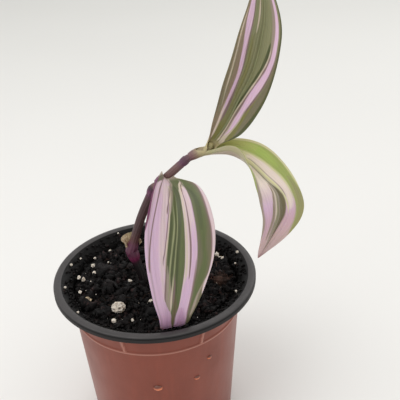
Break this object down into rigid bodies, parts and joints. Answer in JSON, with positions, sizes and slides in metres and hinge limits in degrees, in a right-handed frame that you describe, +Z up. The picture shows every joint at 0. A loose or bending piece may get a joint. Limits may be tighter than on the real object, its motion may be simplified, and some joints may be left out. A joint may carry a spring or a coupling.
{
  "type": "potted tradescantia",
  "caption": "Young tradescantia shoot with pointed striped leaves on a leaning stem, in a plain tapered nursery pot filled with dark peat and perlite.",
  "frame": {"origin": "centre of the underside of the pot's base, on the surface that the pot stands on", "axes": "+Z up along the pot's axis, -Y towards the side the front leaf hangs on, +X towards the arching leaf"},
  "size_m": [0.1098, 0.09, 0.2071],
  "materials": {
    "pot_plastic": "satin",
    "peat": "matte",
    "perlite": "matte",
    "bark": "matte",
    "stem": "satin",
    "dry_leaf": "matte",
    "leaf": "satin",
    "leaf_bright": "satin",
    "leaf_olive": "satin"
  },
  "bodies": {
    "root": {"pot": "pot_plastic", "soil": "peat", "perlite_lump": "perlite", "bark_chip": "bark", "stem": "stem", "dry_sheath": "dry_leaf", "leaf_front": "leaf", "leaf_side": "leaf_bright", "leaf_top": "leaf_olive"}
  },
  "joints": []
}
